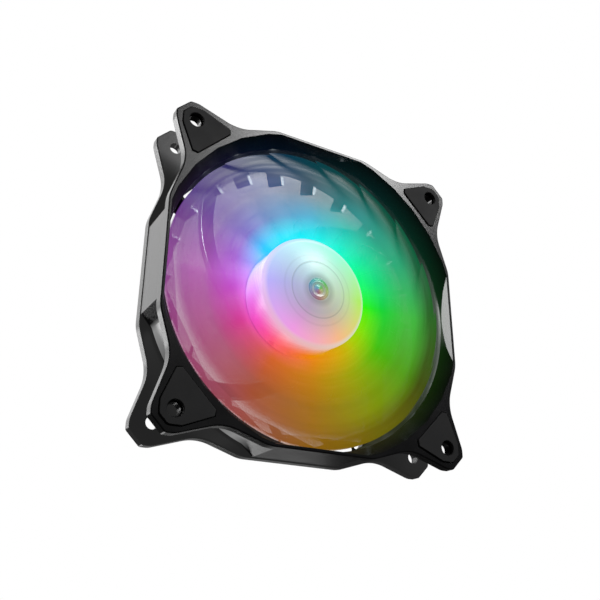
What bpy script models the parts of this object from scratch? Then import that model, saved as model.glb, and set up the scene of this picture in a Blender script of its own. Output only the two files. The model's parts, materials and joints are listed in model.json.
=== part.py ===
"""A 120 mm computer case fan with a lit, translucent impeller.

Metres, +Z up. The air goes in at the front (-Y) and out at the back (+Y). The origin is on the
spin axis, halfway through the fan's depth, and the fan stands upright on its lower side.
"""

import math

import bmesh
import bpy

# Frame
SIDE = 0.120  # outside width and height
DEPTH = 0.025  # over the rubber pads
PAD_PROUD = 0.0005  # how far a pad stands out of its flange
FLANGE_THICKNESS = 0.004
HOLE_SPACING = 0.105
SCREW_HOLE_RADIUS = 0.0022
SIDE_FLAT = 0.020  # half the straight run at the middle of a flange's side
WAIST = (0.0549, 0.0360)  # where a flange's side turns at its narrowest
LOBE_START = 0.052  # where the corner lobe's straight side begins
LOBE_END = 0.0550  # where the lobe's corner is cut off
BARREL_RADIUS = 0.060
GROOVE_RADIUS = 0.0594  # the floor of the groove between the barrel and the rear flange
GROOVE_WIDTH = 0.0020
PANEL_FACE = 0.0597  # a side panel's distance from the axis
PANEL_FLAT = 0.0165  # half a side panel's length
PANEL_FOOT = 0.0215  # where a panel's slanted end meets the barrel

# Duct
MOUTH_RADIUS = 0.0618  # corners of the many-sided mouth in the front flange
MOUTH_CORNERS = 32
MOUTH_SIDE = 0.0588  # the mouth's straight cuts, from the axis
THROAT_RADIUS = 0.0585
THROAT_DEPTH = 0.0055  # from the front flange's face to the throat
BORE_RADIUS = 0.0585
OUTLET_RADIUS = 0.0587
OUTLET_DEPTH = 0.002
DUCT_SEGMENTS = 64

# Struts, vanes and motor base
STRUT_COUNT = 4
STRUT_WIDTH = 0.0052
STRUT_DEPTH = 0.0033
STRUT_ARC_RADIUS = 0.0478
STRUT_ARC_CENTRE = (0.0101, 0.0285)
STRUT_ARC_DEGREES = (150.0, 236.0)
STRUT_STEPS = 12
VANE_COUNT = 22
VANE_TIP_RADII = (0.0505, 0.0517)  # at a vane's front edge and at its back edge
VANE_CHORD = 0.0050  # along the axis
VANE_LEAN_DEGREES = 3.5  # how far round the back edge lies from the front edge
VANE_THICKNESS = 0.0012
VANE_ROOT = 0.0005  # how far a vane is let into the duct wall
BASE_RADIUS = 0.0225
BASE_THICKNESS = 0.0037
CABLE_NOTCH = (0.0060, 0.0030)  # width, and depth into the base's edge

# Rubber pads, measured along and across the diagonal through the screw hole
PAD_CHORD_AT = 0.0636
PAD_CHORD_HALF = 0.0085
PAD_SHOULDER = (0.0653, 0.0099)
PAD_SIDE_END = (0.0762, 0.0055)
PAD_TIP = (0.0795, 0.0022)
PAD_HOLE_RADIUS = 0.00275
PAD_RECESS = 0.0010

# Impeller
HUB_RADIUS = 0.0215
HUB_WALL = 0.0024
HUB_FRONT = -0.0068  # where the hub's rounded edge ends
HUB_BACK = 0.0076
HUB_CROWN = -0.0092
HUB_CEILING = -0.0055
BADGE_RADIUS = 0.0042
BLADE_COUNT = 17
BLADE_TIP_RADIUS = 0.0572
BLADE_FRONT = -0.0062
BLADE_BACKS = (0.0058, 0.0012)  # at the hub and at the tip, where a blade lies flatter
BLADE_SPAN_DEGREES = 62.0
BLADE_SWEEP_DEGREES = 26.0
BLADE_THICKNESS = (0.0016, 0.0009)  # at the hub and at the tip
BLADE_STATIONS = 6
BLADE_CHORD_STEPS = 6

# Motor
CLEARANCE = 0.0003  # left between pieces that touch
SHAFT_RADIUS = 0.0015
SHAFT_FRONT = -0.0071
SHAFT_BACK = 0.0086
YOKE_THICKNESS = 0.0007
YOKE_BACK = 0.0048
MAGNET_THICKNESS = 0.0024
MAGNET_ENDS = (-0.0035, 0.0043)
STATOR_RADIUS = 0.0146
STATOR_ENDS = (-0.0010, 0.0030)
INSULATOR_THICKNESS = 0.0009
POLE_COUNT = 4
COIL_REACH = (0.0072, 0.0118)  # a coil's two ends along its pole
TUBE_RADIUS = 0.0042
TUBE_WALL = 0.0008
TUBE_ENDS = (-0.0026, 0.0103)
SLEEVE_ENDS = (-0.0020, 0.0066)
BOARD_RADIUS = 0.0186
BOARD_THICKNESS = 0.0011
LIGHT_COUNT = 6
LIGHT_RADIUS = 0.0168
LIGHT_SIZE = (0.0030, 0.0014, 0.0022)

# Where the parts of the frame lie along the axis
PAD_FACE = DEPTH / 2
FLANGE_FACE = PAD_FACE - PAD_PROUD
FLANGE_INNER = FLANGE_FACE - FLANGE_THICKNESS
BASE_FRONT = FLANGE_FACE - BASE_THICKNESS
BOARD_BACK = BASE_FRONT - CLEARANCE
BOARD_FRONT = BOARD_BACK - BOARD_THICKNESS
OVERLAP = 0.0006  # how far joined shapes run into each other


def clear_scene():
    for obj in list(bpy.data.objects):
        bpy.data.objects.remove(obj, do_unlink=True)


def material(name, colour, roughness, metallic=0.0, transmission=0.0):
    made = bpy.data.materials.new(name)
    made.use_nodes = True
    surface = made.node_tree.nodes["Principled BSDF"]
    surface.inputs["Base Color"].default_value = (*colour, 1.0)
    surface.inputs["Roughness"].default_value = roughness
    surface.inputs["Metallic"].default_value = metallic
    surface.inputs["Transmission Weight"].default_value = transmission
    return made


def solid(name, verts, faces, look=None, smooth_below=30.0):
    """Makes an object from a closed mesh, with its faces pointing out."""
    mesh = bpy.data.meshes.new(name)
    mesh.from_pydata(verts, [], faces)
    shape = bmesh.new()
    shape.from_mesh(mesh)
    bmesh.ops.connect_verts_nonplanar(shape, angle_limit=math.radians(0.1), faces=shape.faces)
    bmesh.ops.recalc_face_normals(shape, faces=shape.faces)
    shape.to_mesh(mesh)
    shape.free()
    mesh.shade_smooth()
    mesh.set_sharp_from_angle(angle=math.radians(smooth_below))
    if look:
        mesh.materials.append(look)
    obj = bpy.data.objects.new(name, mesh)
    bpy.context.scene.collection.objects.link(obj)
    return obj


def cut_or_join(target, tool, operation="DIFFERENCE"):
    step = target.modifiers.new(tool.name, "BOOLEAN")
    step.operation = operation
    step.object = tool
    tool.hide_render = True
    tool.display_type = "WIRE"


def skinned(name, stacks, look=None):
    """One object with a solid for each stack: a skin through the stack's rings, closed at both ends."""
    verts, faces = [], []
    for rings in stacks:
        count = len(rings[0])
        first = len(verts)
        for ring_points in rings:
            verts += ring_points
        last = len(verts) - count
        faces.append(list(range(first, first + count)))
        faces.append(list(range(last + count - 1, last - 1, -1)))
        for start in range(first, last, count):
            for i in range(start, start + count):
                j = i + 1 if i + 1 < start + count else start
                faces.append((i, i + count, j + count, j))
    return solid(name, verts, faces, look)


def twisted(name, stacks):
    """Like skinned, but in triangles, for skins that twist. Strips across close the curved ends."""
    verts, faces = [], []
    for rings in stacks:
        count = len(rings[0])
        first = len(verts)
        for ring_points in rings:
            verts += ring_points
        last = len(verts) - count
        for end in (first, last):
            for i in range(count // 2 - 1):
                near, far = end + i, end + count - 1 - i
                faces += [(near, near + 1, far - 1), (near, far - 1, far)]
        for start in range(first, last, count):
            for i in range(start, start + count):
                j = i + 1 if i + 1 < start + count else start
                faces += [(i, i + count, j + count), (i, j + count, j)]
    return solid(name, verts, faces)


def prisms(name, outlines, y_front, y_back, look=None):
    """One object with a prism for each closed outline of (x, z) points."""
    stacks = []
    for outline in outlines:
        stacks.append([[(x, y, z) for x, z in outline] for y in (y_front, y_back)])
    return skinned(name, stacks, look)


def turned(name, profile, look=None, segments=48):
    """A closed profile of (radius, y) points turned about the Y axis."""
    verts, rows, faces = [], [], []
    for radius, y in profile:
        steps = segments if radius > 0 else 1
        rows.append([len(verts) + i % steps for i in range(segments)])
        for i in range(steps):
            angle = math.tau * i / segments
            verts.append((radius * math.cos(angle), y, radius * math.sin(angle)))
    for row, following in zip(rows, rows[1:] + rows[:1]):
        for i in range(segments):
            j = (i + 1) % segments
            corners = [row[i], row[j], following[j], following[i]]
            distinct = list(dict.fromkeys(corners))
            if len(distinct) > 2:
                faces.append(distinct)
    return solid(name, verts, faces, look)


def ring(name, inner, outer, y_front, y_back, look=None, segments=48):
    profile = [(inner, y_front), (outer, y_front), (outer, y_back), (inner, y_back)]
    return turned(name, profile, look, segments)


def disc(name, radius, y_front, y_back, look=None, segments=48):
    return turned(name, [(0, y_front), (radius, y_front), (radius, y_back), (0, y_back)], look, segments)


def circle(radius, segments, centre=(0.0, 0.0)):
    angles = [math.tau * i / segments for i in range(segments)]
    return [(centre[0] + radius * math.cos(a), centre[1] + radius * math.sin(a)) for a in angles]


def turn(point, angle):
    x, z = point
    return (x * math.cos(angle) - z * math.sin(angle), x * math.sin(angle) + z * math.cos(angle))


def fillet(before, corner, after, radius, steps=4):
    """The points of an arc that rounds one corner of an outline."""
    to_before = math.atan2(before[1] - corner[1], before[0] - corner[0])
    to_after = math.atan2(after[1] - corner[1], after[0] - corner[0])
    half = (to_after - to_before + math.pi) % math.tau - math.pi
    half /= 2
    reach = radius / math.sin(abs(half))
    middle = to_before + half
    centre = (corner[0] + reach * math.cos(middle), corner[1] + reach * math.sin(middle))
    sweep = math.pi - 2 * abs(half)
    side = 1 if half > 0 else -1
    points = []
    for i in range(steps + 1):
        angle = middle + math.pi + side * sweep * (i / steps - 0.5) * -1
        points.append((centre[0] + radius * math.cos(angle), centre[1] + radius * math.sin(angle)))
    return points


def eightfold(points):
    """Repeats one eighth of a square outline, from the middle of the +X side to its +Z diagonal."""
    quarter = points + [(z, x) for x, z in reversed(points)]
    outline = []
    for corner in range(4):
        outline += [turn(point, corner * math.pi / 2) for point in quarter]
    return outline


def flange_outline():
    half = SIDE / 2
    shoulder = (half, SIDE_FLAT)
    lobe = (half, LOBE_START)
    cut = (half, LOBE_END)
    points = fillet((half, 0), shoulder, WAIST, 0.006, 2)
    points += fillet(shoulder, WAIST, lobe, 0.008, 4)
    points += fillet(WAIST, lobe, cut, 0.004, 2)
    points += fillet(lobe, cut, (LOBE_END, half), 0.0015, 2)
    return eightfold(points)


def barrel_outline(radius):
    """The duct's round outside, with a flat panel at the middle of each side."""
    start = math.asin(PANEL_FOOT / radius)
    arc = [start + (math.pi / 4 - start) * i / 5 for i in range(5)]
    points = [(PANEL_FACE, PANEL_FLAT)]
    points += [(radius * math.cos(a), radius * math.sin(a)) for a in arc]
    return eightfold(points)


def duct_ring(y, radius, corners=None):
    """A ring of duct points: a circle, or a polygon with the same number of points."""
    points = []
    for i in range(DUCT_SEGMENTS):
        angle = math.tau * i / DUCT_SEGMENTS
        reach = radius
        if corners:
            side = math.tau / corners
            reach *= math.cos(side / 2) / math.cos(angle % side - side / 2)
        points.append((reach * math.cos(angle), y, reach * math.sin(angle)))
    return points


def duct_cutter():
    """The air's way through the frame: a faceted mouth, the throat, the bore and the outlet."""
    past = 0.001
    throat_y = -FLANGE_FACE + THROAT_DEPTH
    rings = [
        duct_ring(-FLANGE_FACE - past, MOUTH_RADIUS, MOUTH_CORNERS),
        duct_ring(-FLANGE_FACE, MOUTH_RADIUS, MOUTH_CORNERS),
        duct_ring(throat_y, THROAT_RADIUS),
        duct_ring(throat_y + 0.0015, BORE_RADIUS),
        duct_ring(FLANGE_FACE - OUTLET_DEPTH, BORE_RADIUS),
        duct_ring(FLANGE_FACE, OUTLET_RADIUS),
        duct_ring(FLANGE_FACE + past, OUTLET_RADIUS),
    ]
    duct = skinned("duct_cutter", [rings])
    edge = MOUTH_SIDE
    square = [(edge, -edge), (edge, edge), (-edge, edge), (-edge, -edge)]
    limit = prisms("duct_limit", [square], -DEPTH, DEPTH)
    cut_or_join(duct, limit, "INTERSECT")
    return duct


def pad_outline(inset, corner):
    """A pad's outline about one corner's diagonal, drawn in by an inset."""
    chord = (PAD_CHORD_AT + inset, PAD_CHORD_HALF - inset / 2)
    shoulder = (PAD_SHOULDER[0] + inset, PAD_SHOULDER[1] - inset)
    side_end = (PAD_SIDE_END[0] - inset / 2, PAD_SIDE_END[1] - inset)
    tip = (PAD_TIP[0] - inset, PAD_TIP[1] - inset / 2)
    opposite = (tip[0], -tip[1])
    half = fillet(opposite, tip, side_end, 0.0020, 2)
    half += fillet(tip, side_end, shoulder, 0.0030, 2)
    half += [shoulder, chord]
    outline = [(u, -v) for u, v in reversed(half)] + half
    angle = math.pi / 4 + corner * math.pi / 2
    return [turn(point, angle) for point in outline]


def screw_centres():
    half = HOLE_SPACING / 2
    return [(x, z) for x in (-half, half) for z in (-half, half)]


def strut_outline(index):
    """A swept strut: a band about an arc that leaves the duct wall and meets the motor base."""
    first, last = (math.radians(a) for a in STRUT_ARC_DEGREES)
    angles = [first + (last - first) * i / STRUT_STEPS for i in range(STRUT_STEPS + 1)]
    band = []
    for radius, order in ((STRUT_ARC_RADIUS + STRUT_WIDTH / 2, 1), (STRUT_ARC_RADIUS - STRUT_WIDTH / 2, -1)):
        side = [(radius * math.cos(a), radius * math.sin(a)) for a in angles]
        band += side[::order]
    placed = [(x + STRUT_ARC_CENTRE[0], z + STRUT_ARC_CENTRE[1]) for x, z in band]
    return [turn(point, index * math.tau / STRUT_COUNT) for point in placed]


def vane_rings(index):
    """A small plate that stands in from the outlet's rim, leaning round as it goes back."""
    outer = BORE_RADIUS + VANE_ROOT
    half = VANE_THICKNESS / 2
    back = FLANGE_FACE - 0.0004
    rings = []
    for y, tip, lean in zip((back - VANE_CHORD, back), VANE_TIP_RADII, (0, VANE_LEAN_DEGREES)):
        angle = math.tau * index / VANE_COUNT + math.radians(lean)
        corners = [turn(point, angle) for point in ((tip, -half), (outer, -half), (outer, half), (tip, half))]
        rings.append([(x, y, z) for x, z in corners])
    return rings


def frame_body():
    look = material("frame_plastic", (0.018, 0.018, 0.02), 0.42)
    groove_front = FLANGE_INNER - GROOVE_WIDTH
    frame = prisms("frame", [barrel_outline(BARREL_RADIUS)], -FLANGE_INNER - OVERLAP, groove_front, look)
    grooved = [barrel_outline(GROOVE_RADIUS)]
    cut_or_join(frame, prisms("groove_join", grooved, groove_front - OVERLAP, FLANGE_INNER + OVERLAP), "UNION")
    front = prisms("front_flange", [flange_outline()], -FLANGE_FACE, -FLANGE_INNER)
    rear = prisms("rear_flange", [flange_outline()], FLANGE_INNER, FLANGE_FACE)
    cut_or_join(frame, front, "UNION")
    cut_or_join(frame, rear, "UNION")
    cut_or_join(frame, duct_cutter())

    holes = [circle(SCREW_HOLE_RADIUS, 16, centre) for centre in screw_centres()]
    cut_or_join(frame, prisms("screw_hole_cutter", holes, -DEPTH, DEPTH))
    recesses = [pad_outline(0, corner) for corner in range(4)]
    floor = FLANGE_FACE - PAD_RECESS
    cut_or_join(frame, prisms("front_recess_cutter", recesses, -DEPTH, -floor))
    cut_or_join(frame, prisms("rear_recess_cutter", recesses, floor, DEPTH))

    vanes = skinned("vane_join", [vane_rings(i) for i in range(VANE_COUNT)])
    cut_or_join(frame, vanes, "UNION")
    struts = [strut_outline(i) for i in range(STRUT_COUNT)]
    strut_back = FLANGE_FACE - 0.0002
    strut = prisms("strut_join", struts, strut_back - STRUT_DEPTH, strut_back)
    wall_middle = (BORE_RADIUS + BARREL_RADIUS) / 2
    cut_or_join(strut, disc("strut_limit", wall_middle, 0, DEPTH, segments=DUCT_SEGMENTS), "INTERSECT")
    cut_or_join(frame, strut, "UNION")
    cut_or_join(frame, disc("base_join", BASE_RADIUS, BASE_FRONT, FLANGE_FACE, segments=64), "UNION")

    width, inward = CABLE_NOTCH
    outer = BASE_RADIUS + 0.002
    notch = [(-width / 2, -outer), (width / 2, -outer), (width / 2, inward - BASE_RADIUS)]
    notch.append((-width / 2, inward - BASE_RADIUS))
    cut_or_join(frame, prisms("notch_cutter", [notch], 0, FLANGE_FACE - 0.0012))
    socket = TUBE_RADIUS + CLEARANCE
    cut_or_join(frame, disc("socket_cutter", socket, 0, TUBE_ENDS[1] + CLEARANCE, segments=32))
    label = BASE_RADIUS - 0.0025
    cut_or_join(frame, disc("label_cutter", label, FLANGE_FACE - 0.0007, DEPTH, segments=64))


def rubber_pads():
    look = material("pad_rubber", (0.03, 0.03, 0.032), 0.75)
    inner = FLANGE_FACE - PAD_RECESS + CLEARANCE
    hole = prisms("pad_hole_cutter", [circle(PAD_HOLE_RADIUS, 16, c) for c in screw_centres()], -DEPTH, DEPTH)
    for corner in range(4):
        outline = pad_outline(CLEARANCE, corner)
        front = prisms(f"pad_front_{corner + 1}", [outline], -PAD_FACE, -inner, look)
        rear = prisms(f"pad_rear_{corner + 1}", [outline], inner, PAD_FACE, look)
        cut_or_join(front, hole)
        cut_or_join(rear, hole)


def hub_profile():
    """Half the hub's section, from the axis at the front round to the axis inside."""
    edge = 0.0018
    dish = BADGE_RADIUS + CLEARANCE
    inner = HUB_RADIUS - HUB_WALL
    boss = 0.0034
    bore = SHAFT_RADIUS + CLEARANCE
    corner = (HUB_RADIUS - edge, HUB_FRONT + edge)
    profile = [(0, HUB_CROWN + 0.0007), (dish, HUB_CROWN + 0.0007), (dish, HUB_CROWN)]
    for i in range(1, 4):
        part = i / 4
        profile.append((dish + (corner[0] - dish) * part, HUB_CROWN + (HUB_FRONT - HUB_CROWN) * part ** 1.8))
    for i in range(3):
        angle = math.pi / 2 * i / 2
        profile.append((corner[0] + edge * math.sin(angle), corner[1] - edge * math.cos(angle)))
    profile += [(HUB_RADIUS, HUB_BACK), (inner, HUB_BACK), (inner, HUB_CEILING), (boss, HUB_CEILING)]
    profile += [(boss, -0.0036), (bore, -0.0036), (bore, SHAFT_FRONT - CLEARANCE), (0, SHAFT_FRONT - CLEARANCE)]
    return profile


def blade_ring(station, index):
    """The closed section of one blade at one distance from the axis."""
    root = HUB_RADIUS - 0.0009
    radius = root + (BLADE_TIP_RADIUS - root) * station
    thickness = BLADE_THICKNESS[0] + (BLADE_THICKNESS[1] - BLADE_THICKNESS[0]) * station
    back = BLADE_BACKS[0] + (BLADE_BACKS[1] - BLADE_BACKS[0]) * station
    lead = math.tau * index / BLADE_COUNT + math.radians(BLADE_SWEEP_DEGREES) * station ** 1.6
    span = math.radians(BLADE_SPAN_DEGREES)
    faces = {-1: [], 1: []}
    for i in range(BLADE_CHORD_STEPS + 1):
        part = i / BLADE_CHORD_STEPS
        angle = lead - span * part
        drop = (back - BLADE_FRONT - thickness) * (part - 0.12 * math.sin(math.pi * part))
        middle = BLADE_FRONT + thickness / 2 + drop
        half = thickness / 2 * max(0.35, math.sin(math.pi * (0.12 + 0.76 * part)))
        for side in faces:
            y = middle + side * half
            faces[side].append((radius * math.cos(angle), y, radius * math.sin(angle)))
    return faces[-1] + faces[1][::-1]


def impeller():
    look = material("impeller_plastic", (0.85, 0.85, 0.88), 0.35, transmission=0.6)
    hub = turned("impeller", hub_profile(), look)
    stations = [i / (BLADE_STATIONS - 1) for i in range(BLADE_STATIONS)]
    blades = [[blade_ring(station, index) for station in stations] for index in range(BLADE_COUNT)]
    cut_or_join(hub, twisted("blade_join", blades), "UNION")


def rotor_pieces():
    steel = material("yoke_steel", (0.55, 0.55, 0.56), 0.35, metallic=1.0)
    outer = HUB_RADIUS - HUB_WALL - CLEARANCE
    inner = outer - YOKE_THICKNESS
    front = HUB_CEILING + CLEARANCE
    hole = 0.0040
    profile = [(hole, front), (outer, front), (outer, YOKE_BACK), (inner, YOKE_BACK)]
    profile += [(inner, front + YOKE_THICKNESS), (hole, front + YOKE_THICKNESS)]
    turned("rotor_yoke", profile, steel)

    ferrite = material("magnet_ferrite", (0.05, 0.05, 0.055), 0.6)
    magnet_outer = inner - CLEARANCE
    ring("ring_magnet", magnet_outer - MAGNET_THICKNESS, magnet_outer, *MAGNET_ENDS, ferrite)

    polished = material("shaft_steel", (0.7, 0.7, 0.7), 0.15, metallic=1.0)
    groove = 0.0011
    groove_ends = (0.0071, 0.0080)
    tip = 0.0003
    profile = [(0, SHAFT_FRONT), (SHAFT_RADIUS, SHAFT_FRONT), (SHAFT_RADIUS, groove_ends[0])]
    profile += [(groove, groove_ends[0]), (groove, groove_ends[1]), (SHAFT_RADIUS, groove_ends[1])]
    profile += [(SHAFT_RADIUS, SHAFT_BACK - tip), (SHAFT_RADIUS - tip, SHAFT_BACK), (0, SHAFT_BACK)]
    turned("shaft", profile, polished, segments=24)

    clip_look = material("clip_plastic", (0.8, 0.8, 0.78), 0.5)
    clip_middle = sum(groove_ends) / 2
    clip = ring("shaft_clip", groove + CLEARANCE, 0.0028, clip_middle - 0.00015, clip_middle + 0.00015, clip_look, 24)
    mouth = [(0, -0.0007), (0.004, -0.0007), (0.004, 0.0007), (0, 0.0007)]
    cut_or_join(clip, prisms("clip_mouth_cutter", [mouth], 0, DEPTH))

    badge_look = material("badge_foil", (0.75, 0.77, 0.8), 0.25, metallic=0.6)
    disc("hub_badge", BADGE_RADIUS, HUB_CROWN + 0.0001, HUB_CROWN + 0.0004, badge_look, 32)


def bearing_pieces():
    brass = material("tube_brass", (0.72, 0.52, 0.25), 0.3, metallic=1.0)
    bore = TUBE_RADIUS - TUBE_WALL
    floor = TUBE_ENDS[1] - 0.0008
    profile = [(bore, TUBE_ENDS[0]), (TUBE_RADIUS, TUBE_ENDS[0]), (TUBE_RADIUS, TUBE_ENDS[1])]
    profile += [(0, TUBE_ENDS[1]), (0, floor), (bore, floor)]
    turned("bearing_tube", profile, brass, segments=24)

    bronze = material("sleeve_bronze", (0.45, 0.3, 0.18), 0.55, metallic=1.0)
    outer = bore - CLEARANCE
    inner = SHAFT_RADIUS + CLEARANCE
    ring("bearing_sleeve", inner, outer, *SLEEVE_ENDS, bronze, 24)

    seal_look = material("seal_rubber", (0.04, 0.04, 0.04), 0.7)
    ring("oil_seal", inner, outer, TUBE_ENDS[0], SLEEVE_ENDS[0] - CLEARANCE, seal_look, 24)

    thrust_look = material("thrust_nylon", (0.85, 0.84, 0.8), 0.5)
    disc("thrust_pad", outer, SHAFT_BACK + CLEARANCE, floor - CLEARANCE, thrust_look, 24)


def pole_star(arm_half, shoe_half_degrees, tip_radius, shoe_thickness):
    """The stator's outline: a round hub with an arm and a curved shoe for each pole."""
    core = 0.0062
    outline = []
    shoe = math.radians(shoe_half_degrees)
    neck = tip_radius - shoe_thickness
    for pole in range(POLE_COUNT):
        turned_by = math.tau * pole / POLE_COUNT
        root = math.asin(arm_half / core)
        points = [(core * math.cos(root), -arm_half), (neck, -arm_half)]
        points.append((neck * math.cos(shoe), -neck * math.sin(shoe)))
        for i in range(6):
            angle = -shoe + 2 * shoe * i / 5
            points.append((tip_radius * math.cos(angle), tip_radius * math.sin(angle)))
        points.append((neck * math.cos(shoe), neck * math.sin(shoe)))
        points += [(neck, arm_half), (core * math.cos(root), arm_half)]
        between = math.tau / POLE_COUNT / 2
        points.append((core * math.cos(between), core * math.sin(between)))
        outline += [turn(point, turned_by) for point in points]
    return outline


def stator_pieces():
    lamination = material("stator_steel", (0.4, 0.4, 0.42), 0.5, metallic=1.0)
    nylon = material("insulator_nylon", (0.75, 0.74, 0.7), 0.55)
    copper = material("coil_copper", (0.75, 0.35, 0.15), 0.35, metallic=1.0)
    bore = disc("stator_bore_cutter", TUBE_RADIUS + CLEARANCE, -DEPTH, DEPTH, segments=32)
    front, back = STATOR_ENDS
    arm_half = 0.0018
    pieces = [prisms("stator_core", [pole_star(arm_half, 38, STATOR_RADIUS, 0.0014)], front, back, lamination)]
    star = pole_star(arm_half + 0.0002, 34, STATOR_RADIUS - 0.0004, 0.0016)
    near = front - CLEARANCE
    far = back + CLEARANCE
    pieces.append(prisms("insulator_front", [star], near - INSULATOR_THICKNESS, near, nylon))
    pieces.append(prisms("insulator_rear", [star], far, far + INSULATOR_THICKNESS, nylon))
    for piece in pieces:
        cut_or_join(piece, bore)

    window_half = arm_half + 0.0002 + CLEARANCE
    window = [near - INSULATOR_THICKNESS - CLEARANCE, far + INSULATOR_THICKNESS + CLEARANCE]
    layer = 0.0010
    for pole in range(POLE_COUNT):
        angle = math.tau * pole / POLE_COUNT

        def loop(grow):
            rise = [window[0] - grow, window[1] + grow]
            half = window_half + grow
            return [(-half, rise[0]), (half, rise[0]), (half, rise[1]), (-half, rise[1])]

        inner, outer = COIL_REACH
        verts, faces = [], []
        for reach, grow in ((inner, 0), (inner, layer), (outer, layer), (outer, 0)):
            for across, y in loop(grow):
                x, z = turn((reach, across), angle)
                verts.append((x, y, z))
        for row in range(4):
            for i in range(4):
                j = (i + 1) % 4
                below = (row + 1) % 4
                faces.append((4 * row + i, 4 * row + j, 4 * below + j, 4 * below + i))
        solid(f"coil_{pole + 1}", verts, faces, copper)


def block(name, centre, size, angle, look):
    """A box turned about the spin axis: its size is across, along Y, and outward."""
    across, deep, outward = (value / 2 for value in size)
    radius, y = centre
    corners = [(radius - outward, -across), (radius + outward, -across)]
    corners += [(radius + outward, across), (radius - outward, across)]
    return prisms(name, [[turn(c, angle) for c in corners]], y - deep, y + deep, look)


def board_pieces():
    board_look = material("board_green", (0.02, 0.16, 0.07), 0.4)
    hole = TUBE_RADIUS + 0.0004
    ring("circuit_board", hole, BOARD_RADIUS, BOARD_FRONT, BOARD_BACK, board_look)

    light_look = material("light_epoxy", (0.95, 0.95, 0.85), 0.3, transmission=0.4)
    y = BOARD_FRONT - CLEARANCE - LIGHT_SIZE[1] / 2
    for index in range(LIGHT_COUNT):
        angle = math.tau * index / LIGHT_COUNT + math.radians(30)
        block(f"light_{index + 1}", (LIGHT_RADIUS, y), LIGHT_SIZE, angle, light_look)

    chip_look = material("chip_epoxy", (0.02, 0.02, 0.02), 0.5)
    chip_deep = 0.0009
    chip_y = BOARD_FRONT - CLEARANCE - chip_deep / 2
    block("driver_chip", (0.0105, chip_y), (0.0044, chip_deep, 0.0030), math.radians(60), chip_look)
    block("position_sensor", (0.0132, chip_y), (0.0026, chip_deep, 0.0014), math.radians(0), chip_look)
    tan = material("capacitor_ceramic", (0.5, 0.38, 0.24), 0.5)
    block("capacitor", (0.0110, chip_y), (0.0026, chip_deep, 0.0014), math.radians(140), tan)
    header_look = material("header_nylon", (0.85, 0.83, 0.76), 0.5)
    block("wire_header", (0.0108, chip_y), (0.0060, chip_deep, 0.0028), math.radians(270), header_look)


def rear_label():
    look = material("label_film", (0.35, 0.35, 0.37), 0.4)
    radius = BASE_RADIUS - 0.0025 - CLEARANCE
    disc("rear_label", radius, FLANGE_FACE - 0.0004, FLANGE_FACE - 0.0001, look)


def main():
    clear_scene()
    frame_body()
    rubber_pads()
    impeller()
    rotor_pieces()
    bearing_pieces()
    stator_pieces()
    board_pieces()
    rear_label()


main()
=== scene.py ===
"""The looks of a 120 mm computer case fan: a black frame round a softly lit, translucent impeller.

Metres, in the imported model's own frame: +Z up, with the front, where the air goes in, facing -Y.
The spin axis runs along Y through the origin. Angles about it are anticlockwise as seen from
the front, from +X.
"""

import json
import math

import bmesh
import bpy
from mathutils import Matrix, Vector


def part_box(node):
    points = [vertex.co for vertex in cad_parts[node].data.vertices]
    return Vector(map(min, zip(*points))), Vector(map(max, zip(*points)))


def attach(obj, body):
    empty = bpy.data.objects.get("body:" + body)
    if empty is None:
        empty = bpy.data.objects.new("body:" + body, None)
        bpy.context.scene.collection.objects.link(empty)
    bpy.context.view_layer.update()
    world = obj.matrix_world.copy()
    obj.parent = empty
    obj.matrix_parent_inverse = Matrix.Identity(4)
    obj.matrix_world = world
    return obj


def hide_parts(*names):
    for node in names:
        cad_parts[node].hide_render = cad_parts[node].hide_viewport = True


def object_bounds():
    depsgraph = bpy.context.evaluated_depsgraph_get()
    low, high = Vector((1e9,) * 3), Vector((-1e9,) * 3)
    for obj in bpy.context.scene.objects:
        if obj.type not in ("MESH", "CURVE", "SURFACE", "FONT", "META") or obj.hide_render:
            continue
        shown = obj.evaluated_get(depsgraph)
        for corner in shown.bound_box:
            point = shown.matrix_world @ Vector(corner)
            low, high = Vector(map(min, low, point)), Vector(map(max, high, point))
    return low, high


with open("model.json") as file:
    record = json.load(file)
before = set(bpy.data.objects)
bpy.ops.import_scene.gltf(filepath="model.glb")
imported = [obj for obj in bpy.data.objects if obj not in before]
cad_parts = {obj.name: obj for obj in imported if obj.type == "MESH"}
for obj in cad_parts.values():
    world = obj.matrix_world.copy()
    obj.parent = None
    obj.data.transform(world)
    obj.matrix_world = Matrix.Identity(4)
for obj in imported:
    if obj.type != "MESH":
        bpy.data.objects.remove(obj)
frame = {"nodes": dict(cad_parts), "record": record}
cad_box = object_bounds()

# Camera
CAMERA_PLACE = (-0.1296, -0.2207, -0.1117)
CAMERA_TURN_DEGREES = (113.398, -0.375, -30.063)
CAMERA_LENS_MM = 45.04

NOISE_RANGE = (0.3, 0.7)  # what the noise nodes' values mostly stay within

# Motor windings
WIRE_DIAMETER = 0.0003
# The wire's copper, with painted shade where the turns meet
WIRE_COPPER_AND_SHADE = [(0.0, (0.28, 0.09, 0.03, 1)), (0.4, (0.55, 0.20, 0.07, 1)), (1.0, (0.80, 0.36, 0.15, 1))]

# Lamps, as (name, azimuth, elevation, size in metres, watts)
LAMPS = [
    ("key", 34, 39, 0.28, 3.6),
    ("key_side", 52, 23, 0.15, 0.22),
    ("key_left", 16, 35, 0.20, 0.25),
    ("rear_left", 227, 22, 0.30, 2.4),
    ("rear_low", 213, 1, 0.26, 0.75),
    ("rear", 198, 22, 0.75, 2.4),
    ("rear_right", 158, -13, 0.35, 0.11),
    ("rear_under", 181, -29, 0.25, 0.5),
    ("left", 288, 25, 0.30, 0.4),
    ("top", 0, 90, 0.35, 0.12),
]
WORLD_FILL = 0.03

# Floor
FLOOR_HALF = 1.5
FLOOR_PALES_FROM = 0.2
FLOOR_GLOW = (0.68, 1.0)  # near the fan and at the floor's edge

# Below this turn between two faces their edge is shaded smooth
CREASE_DEGREES = 35.0

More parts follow.
